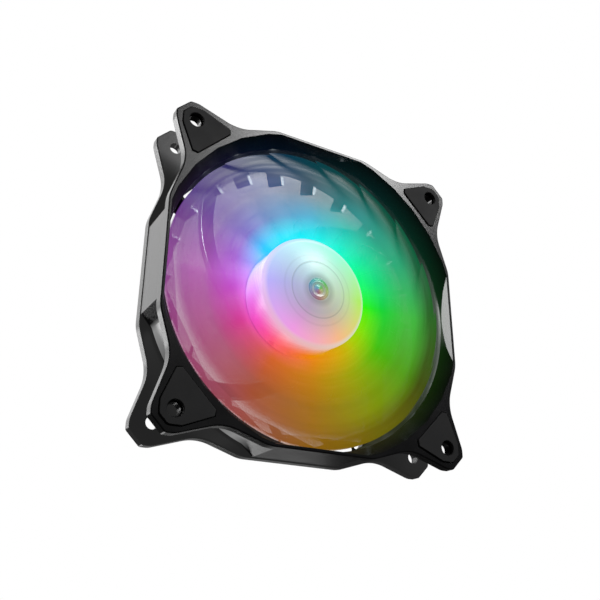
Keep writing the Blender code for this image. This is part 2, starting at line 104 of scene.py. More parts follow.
# Frame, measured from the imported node
FRAME_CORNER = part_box("frame")[1]
HALF_SIDE = FRAME_CORNER.x
FLANGE_FACE = FRAME_CORNER.y
PAD_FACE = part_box("pad_rear_1")[1].y
FLANGE_THICKNESS = 0.004
FLANGE_INNER = FLANGE_FACE - FLANGE_THICKNESS
EDGE = 0.00045  # the rounding of the flanges' outer edges
FRAME_CREASE_DEGREES = 10.8  # just under the turn between two of the mouth's facets
SCREW_AT = 0.0525  # from the axis, along X and along Z
SCREW_HOLE_RADIUS = 0.0022
SIDE_FLAT = 0.020
WAIST = (0.0549, 0.0360)
LOBE_START = 0.052
LOBE_END = 0.0550
SIDE_ROUNDING, WAIST_ROUNDING, LOBE_ROUNDING, LOBE_END_ROUNDING = 0.014, 0.016, 0.007, 0.0015
BARREL_RADIUS = 0.060
GROOVE_RADIUS = 0.0594
GROOVE_WIDTH = 0.0020
PANEL_FACE = 0.0597
PANEL_FLAT = 0.0165
PANEL_FOOT = 0.0215
OVERLAP = 0.0006  # how far pieces that are joined run into each other
PAST = 0.001  # how far a cutter runs out of what it cuts
INNER_LOOK, MOUTH_LOOK, GLINT_LOOK, PAINTED_BARREL_LOOK = 1, 2, 3, 4  # of the frame's looks, beside the outer one

# Duct
DUCT_SEGMENTS = 256
MOUTH_RADIUS = 0.0618
MOUTH_CORNERS = 32
MOUTH_SIDE = 0.0588
MOUTH_EDGE = 0.0002
THROAT_RADIUS = 0.0585
THROAT_DEPTH = 0.0055
BORE_RADIUS = 0.0585
OUTLET_RADIUS = 0.0587
OUTLET_DEPTH = 0.002
THROAT_LENGTH = 0.0015

# Struts, vanes and motor base
STRUT_COUNT = 4
STRUT_WIDTH = 0.0052
STRUT_DEPTH = 0.0033
STRUT_EDGE = 0.0004
STRUT_ARC_RADIUS = 0.0478
STRUT_ARC_CENTRE = (0.0101, 0.0285)
STRUT_ARC_DEGREES = (150.0, 236.0)
STRUT_STEPS = 40
STRUT_INSET = 0.0002  # of the struts' backs from the frame's rear face
VANE_COUNT = 22
VANE_TIP_RADII = (0.0505, 0.0517)
VANE_CHORD = 0.0050
VANE_LEAN_DEGREES = 3.5
VANE_THICKNESS = 0.0012
VANE_ROOT = 0.0005  # how far a vane is let into the duct wall
VANE_FLARE = (0.0006, 0.0008)  # how far in it starts, and how much wider it makes the root
VANE_EDGE = 0.0003
VANE_INSET = 0.0004  # of the vanes' backs from the frame's rear face
VANE_STEPS = 6
BASE_RADIUS = 0.0225
BASE_THICKNESS = 0.0037
BASE_EDGE = 0.0005
LABEL_RADIUS = 0.0200
LABEL_DEPTH = 0.0007
CABLE_NOTCH = (0.0060, 0.0030)
NOTCH_ROOF = 0.0012
SOCKET_RADIUS = 0.0045
SOCKET_BACK = 0.0106

# Rubber pads, measured along and across the diagonal through the screw hole
PAD_CHORD_AT = 0.0636
PAD_CHORD_HALF = 0.0085
PAD_SHOULDER = (0.0653, 0.0099)
PAD_SIDE_END = (0.0762, 0.0055)
PAD_TIP = (0.0795, 0.0022)
PAD_TIP_ROUNDING, PAD_SIDE_ROUNDING, PAD_CORNER_ROUNDING = 0.0020, 0.0030, 0.0003
PAD_HOLE_RADIUS = 0.00275
PAD_RECESS = 0.0010
PAD_EDGE = 0.0002
GAP = 0.0003

# Impeller
HUB_RADIUS = 0.0215
HUB_WALL = 0.0024
HUB_FRONT = -0.0068
HUB_BACK = 0.0076
HUB_CROWN = -0.0092
HUB_CEILING = -0.0055
HUB_EDGE = 0.0018
HUB_BACK_EDGE = 0.0004
HUB_CROWN_CURVE = 1.8  # the power by which the dome falls away from its crown
HUB_STEPS = 90
HUB_EDGE_STEPS = 8
HUB_RING_RADIUS = 0.0110
HUB_RING_WIDTH = 0.0003
HUB_RING_DEPTH = 0.00005
DISH_DEPTH = 0.0007
BOSS_RADIUS = 0.0034
BOSS_BACK = -0.0036
BOSS_BORE = 0.0018
# Darker rings on the hub's face, as (radius, half width, darkness): the first is painted shade round the
# button, the second lies over the turned ring, and the third is a faint darker line further out
HUB_DARK_RINGS = [(0.0050, 0.0022, 0.45), (0.0110, 0.0004, 0.35), (0.0137, 0.0006, 0.12)]
BADGE_RADIUS = 0.0042
BLADE_COUNT = 17
BLADE_TIP_RADIUS = 0.0572
BLADE_FRONT = -0.0062
BLADE_BACKS = (0.0058, 0.0012)  # at the hub and at the tip, where a blade lies flatter
BLADE_SPAN_DEGREES = 62.0
BLADE_SWEEP_DEGREES = 26.0
BLADE_SWEEP_CURVE = 1.6
BLADE_BOW = 0.12  # how far a blade's middle bows forwards, as a share of its rise
BLADE_ROOT = 0.0009  # how far a blade is let into the hub's wall
BLADE_EDGE_SHARE = 0.08  # the thinnest that a blade's edges get, as a share of its thickness
BLADE_THICKNESS = (0.0016, 0.0009)
BLADE_STATIONS = 40
BLADE_CHORD_STEPS = 32
SIDE_LEAN = (0.587, 0.506)  # X and Z for each unit of Y: the line along which the hub's side shows
SURFACE_PASSES = 0.42  # the share of light through one surface of a blade, at mid chord
# Painted glints on the vanes' and struts' front edges, as (turn from -X, share)
GLINT_SHARE = [(0.0, 0.1), (0.04, 0.0), (0.42, 0.1), (0.6, 0.2), (0.9, 0.2), (0.93, 0.8), (0.96, 0.1)]
# Light painted on the barrel from below, as (turn from -X, strength)
BARREL_PAINTED_LIGHT = [(0.055, 0.0), (0.06, 0.26), (0.1, 0.08), (0.15, 0.1), (0.18, 0.24), (0.2, 0.0)]
# The painted glints' greatest strength, and the distances over which they die out
EDGE_GLINT = 13.0  # how brightly those edges glint at most
GLINT_ENDS = (0.0540, 0.0550)  # the distances from the axis over which the glint dies out
# Light painted on the rear flange's front face, where the front flange shades it
REAR_FLANGE_PAINTED_LIGHT = 0.016
# The strength of the impeller's coloured light painted on the mouth's wall
MOUTH_PAINTED_LIGHT = (0.005, 0.05)  # at the front face and at the blades
MOUTH_ROUGHNESS = (0.16, 0.5)  # before the throat and in it
MOUTH_DULLS = 0.002

# The lit colours, as (degrees, red, green, blue) in display values
VEIL_INNER = [
    (0, 40, 240, 10),
    (30, 5, 245, 130),
    (60, 0, 240, 205),
    (90, 0, 235, 240),
    (120, 0, 228, 252),
    (150, 10, 190, 255),
    (175, 200, 145, 255),
    (195, 235, 100, 230),
    (210, 242, 75, 200),
    (240, 250, 80, 95),
    (270, 232, 128, 0),
    (300, 205, 168, 0),
    (330, 140, 215, 0),
]
VEIL_NEAR = [
    (0, 10, 205, 50),
    (30, 0, 215, 135),
    (60, 0, 205, 180),
    (90, 20, 168, 205),
    (120, 55, 128, 185),
    (150, 115, 85, 190),
    (180, 178, 55, 205),
    (210, 203, 20, 135),
    (240, 205, 90, 20),
    (270, 190, 125, 0),
    (300, 155, 160, 0),
    (330, 65, 187, 0),
]
VEIL_OUTER = [
    (0, 60, 180, 60),
    (30, 20, 165, 115),
    (60, 5, 140, 135),
    (90, 0, 75, 100),
    (120, 20, 55, 130),
    (150, 85, 25, 145),
    (180, 160, 65, 160),
    (210, 160, 60, 115),
    (240, 160, 75, 45),
    (270, 155, 105, 5),
    (300, 130, 140, 0),
    (330, 80, 155, 5),
]
VEIL_RIM = [
    (0, 45, 100, 35),
    (30, 12, 92, 58),
    (60, 10, 75, 62),
    (90, 10, 62, 72),
    (120, 12, 42, 80),
    (150, 75, 45, 125),
    (180, 140, 65, 145),
    (210, 150, 65, 115),
    (240, 155, 75, 70),
    (270, 140, 95, 10),
    (300, 105, 98, 3),
    (330, 62, 75, 2),
]
# Where each ring of colours takes over from the one inside it, as (from, to, colours)
VEIL_RINGS = [(0.024, 0.032, VEIL_NEAR), (0.032, 0.043, VEIL_OUTER), (0.047, 0.054, VEIL_RIM)]
HUB_SIDE = [
    (0, 150, 240, 90),
    (60, 120, 245, 215),
    (120, 150, 220, 250),
    (150, 205, 205, 255),
    (180, 230, 150, 253),
    (210, 240, 75, 195),
    (240, 250, 82, 108),
    (270, 238, 118, 3),
    (300, 228, 168, 3),
    (330, 190, 210, 20),
]
HUB_RIM = [
    (0, 175, 236, 100),
    (60, 155, 250, 216),
    (120, 190, 244, 250),
    (180, 187, 178, 252),
    (240, 242, 157, 228),
    (300, 248, 187, 138),
]
HUB_MIDDLE = [
    (0, 184, 208, 176),
    (60, 176, 222, 202),
    (120, 155, 198, 205),
    (180, 170, 175, 210),
    (240, 178, 160, 188),
    (300, 184, 180, 168),
]
# How thick the veil looks, inside and at its rim, as (turn from -X, share of the thickest)
VEIL_THICKEST = 4.0
VEIL_AT_ROOT = 3.0  # how many times thicker it is at the hub
VEIL_ROOT_END = 0.042
RIM_RING = (0.0505, 0.0555)  # where the rim's share takes over from the inside one
TIP_BEND = (1.0, 0.15)  # the power that moves a blade's densest part forwards, by the rim's share
TIP_BEND_SHARES = (0.3, 0.9)
TIP_BEND_START = 0.048
HUB_CLEARING = (0.0012, 0.06)  # the width of the clear zone's edge, and what it leaves of the veil
MOUTH_CLEARING = (0.0560, 0.0588, 0.55)  # from, to, and what is left there
VEIL_SHARE = [
    (0.0, 0.32),
    (0.12, 0.3),
    (0.3, 0.48),
    (0.5, 0.48),
    (0.62, 0.36),
    (0.7, 0.2),
    (0.83, 0.17),
    (0.92, 0.24),
]
RIM_SHARE = [
    (0.0, 0.28),
    (0.06, 0.24),
    (0.22, 0.22),
    (0.3, 0.3),
    (0.4, 0.5),
    (0.6, 0.9),
    (0.85, 1.0),
    (0.95, 0.35),
]
# The lamps' colours painted on the button as a reflection
BUTTON_PAINTED_REFLECTION = [
    (0, 155, 185, 108),
    (45, 85, 185, 80),
    (90, 38, 182, 146),
    (135, 40, 160, 172),
    (180, 124, 155, 190),
    (225, 152, 130, 165),
    (270, 168, 118, 122),
    (315, 185, 170, 134),
]


# ---------------------------------------------------------------- meshes

def mesh_piece(name, verts, faces, looks):
    """Makes an object from a closed mesh, with its faces pointing out. Its first look covers it all."""
    mesh = bpy.data.meshes.new(name)
    mesh.from_pydata(verts, [], faces)
    shape = bmesh.new()
    shape.from_mesh(mesh)
    bmesh.ops.recalc_face_normals(shape, faces=shape.faces)
    shape.to_mesh(mesh)
    shape.free()
    for look in looks:
        mesh.materials.append(look)
    piece = bpy.data.objects.new(name, mesh)
    bpy.context.scene.collection.objects.link(piece)
    soften(piece, CREASE_DEGREES)
    return piece


def soften(piece, smooth_below):
    """Shades a piece smooth, but for the edges that turn by more than an angle in degrees."""
    piece.data.shade_smooth()
    piece.data.set_sharp_from_angle(angle=math.radians(smooth_below))


def even_normals(piece):
    """Keeps large flat faces flat where they meet a small rounded edge."""
    step = piece.modifiers.new("even_normals", "WEIGHTED_NORMAL")
    step.keep_sharp = True


def combine(target, tool, operation="DIFFERENCE"):
    """Cuts or joins two closed meshes, and keeps only the result."""
    step = target.modifiers.new("combine", "BOOLEAN")
    step.operation = operation
    step.object = tool
    bpy.context.view_layer.update()
    shape = target.evaluated_get(bpy.context.evaluated_depsgraph_get())
    result = bpy.data.meshes.new_from_object(shape)
    old = target.data
    target.modifiers.remove(step)
    target.data = result
    bpy.data.meshes.remove(old)
    result.name = target.name
    bpy.data.objects.remove(tool, do_unlink=True)
    return target


def skinned(name, stacks, looks=()):
    """One object with a solid for each stack: a skin through its rings, closed at both ends."""
    verts, faces = [], []
    for rings in stacks:
        count = len(rings[0])
        first = len(verts)
        for ring_points in rings:
            verts += ring_points
        last = len(verts) - count
        faces.append(list(range(first, first + count)))
        faces.append(list(range(last + count - 1, last - 1, -1)))
        for start in range(first, last, count):
            for i in range(start, start + count):
                j = i + 1 if i + 1 < start + count else start
                faces.append((i, i + count, j + count, j))
    return mesh_piece(name, verts, faces, looks)


def at_depth(outline, y):
    return [(x, y, z) for x, z in outline]


def prisms(name, outlines, y_front, y_back, looks=()):
    stacks = [[at_depth(outline, y_front), at_depth(outline, y_back)] for outline in outlines]
    return skinned(name, stacks, looks)


def turned(name, profile, looks=(), segments=128):
    """A closed profile of (radius, y) points turned about the Y axis."""
    verts, rows, faces = [], [], []
    for radius, y in profile:
        steps = segments if radius > 0 else 1
        rows.append([len(verts) + i % steps for i in range(segments)])
        for i in range(steps):
            angle = math.tau * i / segments
            verts.append((radius * math.cos(angle), y, radius * math.sin(angle)))
    for row, following in zip(rows, rows[1:] + rows[:1]):
        for i in range(segments):
            j = (i + 1) % segments
            distinct = list(dict.fromkeys([row[i], row[j], following[j], following[i]]))
            if len(distinct) > 2:
                faces.append(distinct)
    return mesh_piece(name, verts, faces, looks)


def disc(name, radius, y_front, y_back, looks=(), edge=0.0):
    profile = [(0, y_front)]
    if edge:
        profile += [(radius - edge, y_front), (radius, y_front + edge)]
        profile += [(radius, y_back - edge), (radius - edge, y_back)]
    else:
        profile += [(radius, y_front), (radius, y_back)]
    return turned(name, profile + [(0, y_back)], looks)


def circle(radius, segments, centre=(0.0, 0.0)):
    angles = [math.tau * i / segments for i in range(segments)]
    return [(centre[0] + radius * math.cos(a), centre[1] + radius * math.sin(a)) for a in angles]


def turn(point, angle):
    x, z = point
    return (x * math.cos(angle) - z * math.sin(angle), x * math.sin(angle) + z * math.cos(angle))


def fillet(before, corner, after, radius, steps=10):
    """The points of an arc that rounds one corner of an outline."""
    to_before = math.atan2(before[1] - corner[1], before[0] - corner[0])
    to_after = math.atan2(after[1] - corner[1], after[0] - corner[0])
    half = ((to_after - to_before + math.pi) % math.tau - math.pi) / 2
    reach = radius / math.sin(abs(half))
    middle = to_before + half
    centre = (corner[0] + reach * math.cos(middle), corner[1] + reach * math.sin(middle))
    sweep = math.pi - 2 * abs(half)
    side = 1 if half > 0 else -1
    points = []
    for i in range(steps + 1):
        angle = middle + math.pi - side * sweep * (i / steps - 0.5)
        points.append((centre[0] + radius * math.cos(angle), centre[1] + radius * math.sin(angle)))
    return points


def eightfold(points):
    """Repeats one eighth of a square outline, from the middle of the +X side to its +Z diagonal."""
    quarter = points + [(z, x) for x, z in reversed(points)]
    outline = []
    for corner in range(4):
        outline += [turn(point, corner * math.pi / 2) for point in quarter]
    return outline


def inset(outline, distance):
    """Moves an anticlockwise outline inwards by a distance small against its curves."""
    moved = []
    for before, point, after in zip(outline[-1:] + outline[:-1], outline, outline[1:] + outline[:1]):
        normals = []
        for start, end in ((before, point), (point, after)):
            along = Vector((end[0] - start[0], end[1] - start[1])).normalized()
            normals.append(Vector((-along.y, along.x)))
        mean = (normals[0] + normals[1]).normalized()
        step = mean * (distance / mean.dot(normals[0]))
        moved.append((point[0] + step.x, point[1] + step.y))
    return moved


def rounded_stack(outline, y_front, y_back, edge, steps=9):
    """The rings of a prism whose front and back edges are rounded."""
    rings = []
    for i in range(steps + 1):
        angle = math.pi / 2 * i / steps
        rings.append((edge * (1 - math.sin(angle)), edge * (1 - math.cos(angle))))
    front = [at_depth(inset(outline, inward), y_front + down) for inward, down in rings]
    back = [at_depth(inset(outline, inward), y_back - down) for inward, down in reversed(rings)]
    return front + back


# ---------------------------------------------------------------- frame

def flange_outline():
    """A flange's outline: flat sides, drawn in to a waist before each corner's lobe."""
    shoulder = (HALF_SIDE, SIDE_FLAT)
    lobe = (HALF_SIDE, LOBE_START)
    cut = (HALF_SIDE, LOBE_END)
    points = fillet((HALF_SIDE, 0), shoulder, WAIST, SIDE_ROUNDING, 8)
    points += fillet(shoulder, WAIST, lobe, WAIST_ROUNDING, 14)
    points += fillet(WAIST, lobe, cut, LOBE_ROUNDING, 8)
    points += fillet(lobe, cut, (LOBE_END, HALF_SIDE), LOBE_END_ROUNDING, 8)
    return eightfold(points)


def barrel_outline(radius):
    """The duct's round outside, with a flat panel at the middle of each side."""
    start = math.asin(PANEL_FOOT / radius)
    steps = 20
    arc = [start + (math.pi / 4 - start) * i / steps for i in range(steps)]
    points = [(PANEL_FACE, PANEL_FLAT)]
    points += [(radius * math.cos(a), radius * math.sin(a)) for a in arc]
    return eightfold(points)


def duct_ring(y, radius, corners=None):
    """A ring of duct points: a circle, or a polygon with the same number of points."""
    points = []
    for i in range(DUCT_SEGMENTS):
        angle = math.tau * i / DUCT_SEGMENTS
        reach = radius
        if corners:
            side = math.tau / corners
            reach *= math.cos(side / 2) / math.cos(angle % side - side / 2)
        points.append((reach * math.cos(angle), y, reach * math.sin(angle)))
    return points


def duct_cutter(looks):
    """The air's way through the frame: a faceted mouth, the throat, the bore and the outlet."""
    throat_y = -FLANGE_FACE + THROAT_DEPTH
    rings = [
        duct_ring(-FLANGE_FACE - PAST, MOUTH_RADIUS + MOUTH_EDGE, MOUTH_CORNERS),
        duct_ring(-FLANGE_FACE, MOUTH_RADIUS + MOUTH_EDGE, MOUTH_CORNERS),
        duct_ring(-FLANGE_FACE + MOUTH_EDGE, MOUTH_RADIUS, MOUTH_CORNERS),
        duct_ring(throat_y, THROAT_RADIUS),
        duct_ring(throat_y + THROAT_LENGTH, BORE_RADIUS),
        duct_ring(FLANGE_FACE - OUTLET_DEPTH, BORE_RADIUS),
        duct_ring(FLANGE_FACE, OUTLET_RADIUS),
        duct_ring(FLANGE_FACE + PAST, OUTLET_RADIUS),
    ]
    duct = in_look(skinned("duct_cutter", [rings], looks), MOUTH_LOOK)
    square = [(MOUTH_SIDE, -MOUTH_SIDE), (MOUTH_SIDE, MOUTH_SIDE)]
    square += [(-x, -z) for x, z in square]
    wide = inset(square, -MOUTH_EDGE)
    sides = [(wide, -2 * FLANGE_FACE), (wide, -FLANGE_FACE), (square, -FLANGE_FACE + MOUTH_EDGE)]
    sides.append((square, 2 * FLANGE_FACE))
    limit = skinned("duct_limit", [[at_depth(outline, y) for outline, y in sides]], looks)
    return combine(duct, in_look(limit, MOUTH_LOOK), "INTERSECT")


def strut_rings(index):
    """A swept strut: a band about an arc from the duct wall to the motor base, its edges rounded."""
    first, last = (math.radians(a) for a in STRUT_ARC_DEGREES)
    back = FLANGE_FACE - STRUT_INSET
    half_width, half_depth = STRUT_WIDTH / 2, STRUT_DEPTH / 2
    box = [(half_width, -half_depth), (half_width, half_depth)]
    box += [(-x, -y) for x, y in box]
    section = []
    for i, corner in enumerate(box):
        section += fillet(box[i - 1], corner, box[(i + 1) % 4], STRUT_EDGE, 9)
    rings = []
    for i in range(STRUT_STEPS + 1):
        angle = first + (last - first) * i / STRUT_STEPS
        points = []
        for across, deep in section:
            radius = STRUT_ARC_RADIUS + across
            x, z = turn((radius, 0), angle)
            x, z = turn((STRUT_ARC_CENTRE[0] + x, STRUT_ARC_CENTRE[1] + z), index * math.tau / STRUT_COUNT)
            points.append((x, back - half_depth + deep, z))
        rings.append(points)
    return rings


def vane_rings(index):
    """A small plate that stands in from the outlet's rim, leaning round as it goes back."""
    outer = BORE_RADIUS + VANE_ROOT
    half = VANE_THICKNESS / 2
    back = FLANGE_FACE - VANE_INSET
    rings = []
    for step in range(VANE_STEPS + 1):
        part = step / VANE_STEPS
        tip = VANE_TIP_RADII[0] + (VANE_TIP_RADII[1] - VANE_TIP_RADII[0]) * part
        angle = math.tau * index / VANE_COUNT + math.radians(VANE_LEAN_DEGREES) * part
        nose = fillet((outer, -half), (tip, -half), (tip, half), VANE_EDGE, 9)
        nose += fillet((tip, -half), (tip, half), (outer, half), VANE_EDGE, 9)
        flare = [(outer, half + VANE_FLARE[1]), (BORE_RADIUS - VANE_FLARE[0], half)]
        outline = nose + flare[::-1] + [(x, -z) for x, z in flare]
        y = back - VANE_CHORD * (1 - part)
        rings.append([(x, y, z) for x, z in (turn(point, angle) for point in outline)])
    return rings


def frame_shell(looks):
    """The moulded frame: two flanges on a barrel, with struts, vanes and the motor base."""
    shell = barrel_and_flanges(looks)
    combine(shell, duct_cutter(looks))
    cut_corners(shell)
    add_vanes(shell, looks)
    add_struts(shell, looks)
    base_front = FLANGE_FACE - BASE_THICKNESS
    combine(shell, disc("base", BASE_RADIUS, base_front, FLANGE_FACE, looks, BASE_EDGE), "UNION")
    cut_base(shell)
    soften(shell, FRAME_CREASE_DEGREES)
    even_normals(shell)
    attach(shell, "housing")
    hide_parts("frame")


def barrel_and_flanges(looks):
    """The duct's outside with its groove before the rear flange, and both flanges on it."""
    groove_front = FLANGE_INNER - GROOVE_WIDTH
    barrel, groove = ([barrel_outline(radius)] for radius in (BARREL_RADIUS, GROOVE_RADIUS))
    shell = in_look(prisms("frame_shell", barrel, -FLANGE_INNER - OVERLAP, groove_front, looks), PAINTED_BARREL_LOOK)
    combine(shell, prisms("groove", groove, groove_front - OVERLAP, FLANGE_INNER + OVERLAP, looks), "UNION")
    outline = flange_outline()
    for y_front, y_back in ((-FLANGE_FACE, -FLANGE_INNER), (FLANGE_INNER, FLANGE_FACE)):
        flange = skinned("flange", [rounded_stack(outline, y_front, y_back, EDGE)], looks)
        combine(shell, flange, "UNION")
    return shell


def cut_corners(shell):
    """The four screw holes, and the recesses that the rubber pads lie in."""
    screws = [(x, z) for x in (-SCREW_AT, SCREW_AT) for z in (-SCREW_AT, SCREW_AT)]
    holes = [circle(SCREW_HOLE_RADIUS, 48, centre) for centre in screws]
    combine(shell, prisms("holes", holes, -2 * FLANGE_FACE, 2 * FLANGE_FACE))
    recesses = [pad_outline(0, corner) for corner in range(4)]
    bottom = FLANGE_FACE - PAD_RECESS
    combine(shell, prisms("front_recess", recesses, -2 * FLANGE_FACE, -bottom))
    combine(shell, prisms("rear_recess", recesses, bottom, 2 * FLANGE_FACE))


def add_vanes(shell, looks):
    vanes = in_look(skinned("vanes", [vane_rings(i) for i in range(VANE_COUNT)], looks), INNER_LOOK)
    # The vanes' front faces get painted glints
    paint_glints(vanes, 0.9, 1.1)
    combine(shell, vanes, "UNION")


def add_struts(shell, looks):
    """The struts, ended in the middle of the duct's wall."""
    struts = in_look(skinned("struts", [strut_rings(i) for i in range(STRUT_COUNT)], looks), INNER_LOOK)
    # The struts' rounded front edges get painted glints
    paint_glints(struts, 0.5, 0.9)
    wall_middle = (BORE_RADIUS + BARREL_RADIUS) / 2
    combine(struts, in_look(disc("limit", wall_middle, 0, 2 * FLANGE_FACE, looks), INNER_LOOK), "INTERSECT")
    combine(shell, struts, "UNION")


def cut_base(shell):
    """The motor base's notch for the lead, the bearing's socket and the label's recess."""
    width, inward = CABLE_NOTCH
    outer = BASE_RADIUS + 2 * PAST
    notch = [(-width / 2, -outer), (width / 2, -outer), (width / 2, inward - BASE_RADIUS)]
    notch.append((-width / 2, inward - BASE_RADIUS))
    combine(shell, prisms("notch", [notch], 0, FLANGE_FACE - NOTCH_ROOF))
    combine(shell, disc("socket", SOCKET_RADIUS, 0, SOCKET_BACK))
    combine(shell, disc("label_recess", LABEL_RADIUS, FLANGE_FACE - LABEL_DEPTH, 2 * FLANGE_FACE))


def in_look(piece, number):
    """Gives all of a piece one of its looks."""
    for face in piece.data.polygons:
        face.material_index = number
    return piece


def paint_glints(piece, least, most):
    """Gives the painted glint look to the faces that look forwards by an amount in this range."""
    for face in piece.data.polygons:
        if least < -face.normal.y < most:
            face.material_index = GLINT_LOOK


def pad_outline(inward, corner):
    """A pad's outline about one corner's diagonal, drawn in by a distance."""
    chord = (PAD_CHORD_AT + inward, PAD_CHORD_HALF - inward / 2)
    shoulder = (PAD_SHOULDER[0] + inward, PAD_SHOULDER[1] - inward)
    side_end = (PAD_SIDE_END[0] - inward / 2, PAD_SIDE_END[1] - inward)
    tip = (PAD_TIP[0] - inward, PAD_TIP[1] - inward / 2)
    opposite = (tip[0], -tip[1])
    half = fillet(opposite, tip, side_end, PAD_TIP_ROUNDING, 8)
    half += fillet(tip, side_end, shoulder, PAD_SIDE_ROUNDING, 8)
    half += fillet(side_end, shoulder, chord, PAD_CORNER_ROUNDING, 3)
    half += fillet(shoulder, chord, (chord[0], -chord[1]), PAD_CORNER_ROUNDING, 3)
    outline = [(u, -v) for u, v in reversed(half)] + half
    angle = math.pi / 4 + corner * math.pi / 2
    return [turn(point, angle) for point in outline]


def rubber_pads(look):
    """The eight corner pads, each with rounded edges and a hole with an eased mouth."""
    inner = FLANGE_FACE - PAD_RECESS + GAP
    for corner in range(4):
        centre = turn((math.hypot(SCREW_AT, SCREW_AT), 0), math.pi / 4 + corner * math.pi / 2)
        for side, ends in (("front", (-PAD_FACE, -inner)), ("rear", (inner, PAD_FACE))):
            name = f"pad_{side}_{corner + 1}"
            stack = rounded_stack(pad_outline(GAP, corner), *ends, PAD_EDGE)
            pad = skinned(f"rubber_{side}_{corner + 1}", [stack], [look])
            rings = []
            for y, radius in pad_hole_profile(ends):
                rings.append(at_depth(circle(radius, 64, centre), y))
            combine(pad, skinned("pad_hole", [rings]))
            soften(pad, CREASE_DEGREES)
            even_normals(pad)
            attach(pad, "housing")
            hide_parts(name)


def pad_hole_profile(ends):
    """(y, radius) down a pad's hole: its edge is eased where it meets the open face."""
    eased = PAD_HOLE_RADIUS + PAD_EDGE
    if ends[0] < 0:
        rows = [(ends[0] - PAST, eased), (ends[0], eased), (ends[0] + PAD_EDGE, PAD_HOLE_RADIUS)]
        return rows + [(ends[1] + PAST, PAD_HOLE_RADIUS)]
    rows = [(ends[0] - PAST, PAD_HOLE_RADIUS), (ends[1] - PAD_EDGE, PAD_HOLE_RADIUS)]
    return rows + [(ends[1], eased), (ends[1] + PAST, eased)]


# ---------------------------------------------------------------- impeller

def hub_face(radius):
    """Where the hub's domed front lies at a distance from the axis, with its turned ring."""
    flat = BADGE_RADIUS + GAP
    part = max(0.0, (radius - flat) / (HUB_RADIUS - HUB_EDGE - flat))
    y = HUB_CROWN + (HUB_FRONT - HUB_CROWN) * part ** HUB_CROWN_CURVE
    ring = (radius - HUB_RING_RADIUS) / HUB_RING_WIDTH
    return y + HUB_RING_DEPTH * math.exp(-ring * ring)


def hub_profile():
    """Half the hub's section, from the axis at the front round to the axis inside."""
    dish = BADGE_RADIUS + GAP
    inner = HUB_RADIUS - HUB_WALL
    shaft_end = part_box("shaft")[0].y - GAP
    corner = (HUB_RADIUS - HUB_EDGE, HUB_FRONT + HUB_EDGE)
    profile = [(0, HUB_CROWN + DISH_DEPTH), (dish, HUB_CROWN + DISH_DEPTH)]
    for i in range(HUB_STEPS):
        radius = dish + (corner[0] - dish) * i / HUB_STEPS
        profile.append((radius, hub_face(radius)))
    for i in range(HUB_EDGE_STEPS + 1):
        angle = math.pi / 2 * i / HUB_EDGE_STEPS
        profile.append((corner[0] + HUB_EDGE * math.sin(angle), corner[1] - HUB_EDGE * math.cos(angle)))
    profile += [(HUB_RADIUS, HUB_BACK - HUB_BACK_EDGE), (HUB_RADIUS - HUB_BACK_EDGE, HUB_BACK)]
    profile += [(inner, HUB_BACK), (inner, HUB_CEILING), (BOSS_RADIUS, HUB_CEILING)]
    profile += [(BOSS_RADIUS, BOSS_BACK), (BOSS_BORE, BOSS_BACK)]
    return profile + [(BOSS_BORE, shaft_end), (0, shaft_end)]


def blade_ring(station, index):
    """The closed section of one blade at one distance from the axis."""
    root = HUB_RADIUS - BLADE_ROOT
    radius = root + (BLADE_TIP_RADIUS - root) * station
    thickness = BLADE_THICKNESS[0] + (BLADE_THICKNESS[1] - BLADE_THICKNESS[0]) * station
    back = BLADE_BACKS[0] + (BLADE_BACKS[1] - BLADE_BACKS[0]) * station
    sweep = math.radians(BLADE_SWEEP_DEGREES) * station ** BLADE_SWEEP_CURVE
    lead = math.tau * index / BLADE_COUNT + sweep
    span = math.radians(BLADE_SPAN_DEGREES)
    faces = {-1: [], 1: []}
    for i in range(BLADE_CHORD_STEPS + 1):
        part = (1 - math.cos(math.pi * i / BLADE_CHORD_STEPS)) / 2
        angle = lead - span * part
        drop = (back - BLADE_FRONT - thickness) * (part - BLADE_BOW * math.sin(math.pi * part))
        middle = BLADE_FRONT + thickness / 2 + drop
        half = thickness / 2 * max(BLADE_EDGE_SHARE, math.sin(math.pi * part) ** 0.5)
        for side in faces:
            faces[side].append((radius * math.cos(angle), middle + side * half, radius * math.sin(angle)))
    return faces[-1] + faces[1][::-1]


def impeller(hub_look, blade_look):
    """The turned hub cup, and the swept blades that grow out of its wall."""
    hub = turned("impeller_hub", hub_profile(), [hub_look], 192)
    even_normals(hub)
    stations = [i / BLADE_STATIONS for i in range(BLADE_STATIONS + 1)]
    stacks = [[blade_ring(station, index) for station in stations] for index in range(BLADE_COUNT)]
    blades = skinned("impeller_blades", stacks, [blade_look])
    store_chord(blades)
    blades.visible_glossy = False  # so that the mouth's polished facets reflect the studio
    for piece in (hub, blades):
        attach(piece, "rotor")
        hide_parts("impeller")


def store_chord(blades):
    """Keeps, at each point of each blade, how far across the chord it lies, from 0 to 1."""
    ring_size = 2 * (BLADE_CHORD_STEPS + 1)
    chord = blades.data.attributes.new("chord", "FLOAT", "POINT")
    across = [i / BLADE_CHORD_STEPS for i in range(BLADE_CHORD_STEPS + 1)]
    across += across[::-1]
    for vertex in range(len(blades.data.vertices)):
        step = across[vertex % ring_size]
        chord.data[vertex].value = (1 - math.cos(math.pi * step)) / 2


